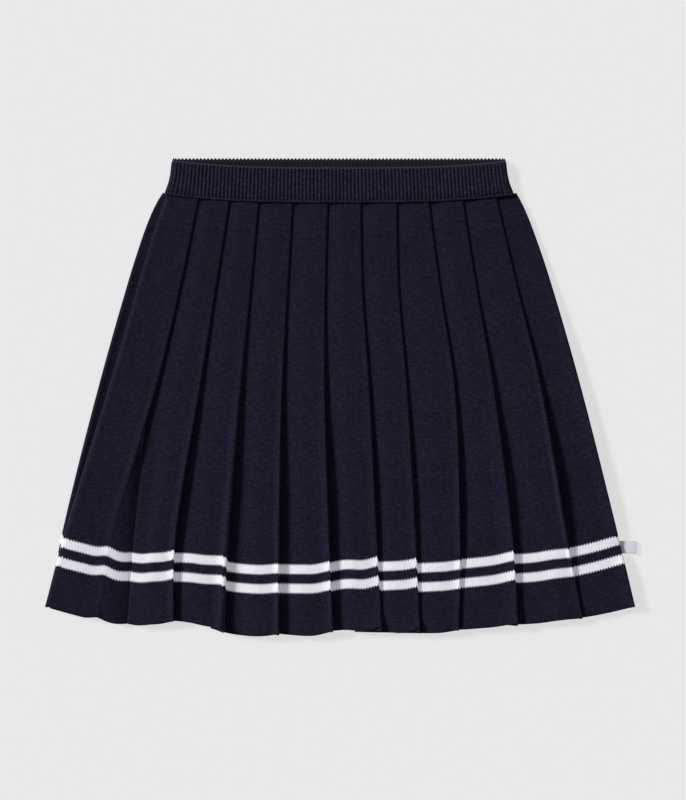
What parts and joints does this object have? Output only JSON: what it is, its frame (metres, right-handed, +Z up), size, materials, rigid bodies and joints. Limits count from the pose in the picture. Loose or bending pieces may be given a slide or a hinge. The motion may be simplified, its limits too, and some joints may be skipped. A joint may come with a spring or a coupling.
{
  "type": "pleated mini skirt",
  "caption": "Navy knitted knife-pleated mini skirt with a ribbed pull-on waistband and two white stripes above the hem, laid flat with its front up.",
  "frame": {"origin": "on the table under the middle of the skirt's outline, as it lies flat", "axes": "+X to the right of the skirt as it is seen from the front, +Y from hem to waist, +Z up from the table"},
  "size_m": [0.4348, 0.3498, 0.0122],
  "materials": {
    "navy_knit": "matte fine-gauge cotton stocking stitch, navy with two white knitted-in stripes above the hem",
    "navy_rib": "matte one-by-one cotton rib, navy",
    "tab_ribbon": "smooth woven ribbon, pale grey-white, bare"
  },
  "bodies": {
    "root": {"skirt_front": "navy_knit", "skirt_back": "navy_knit", "waistband": "navy_rib", "side_tab": "tab_ribbon"}
  },
  "joints": []
}
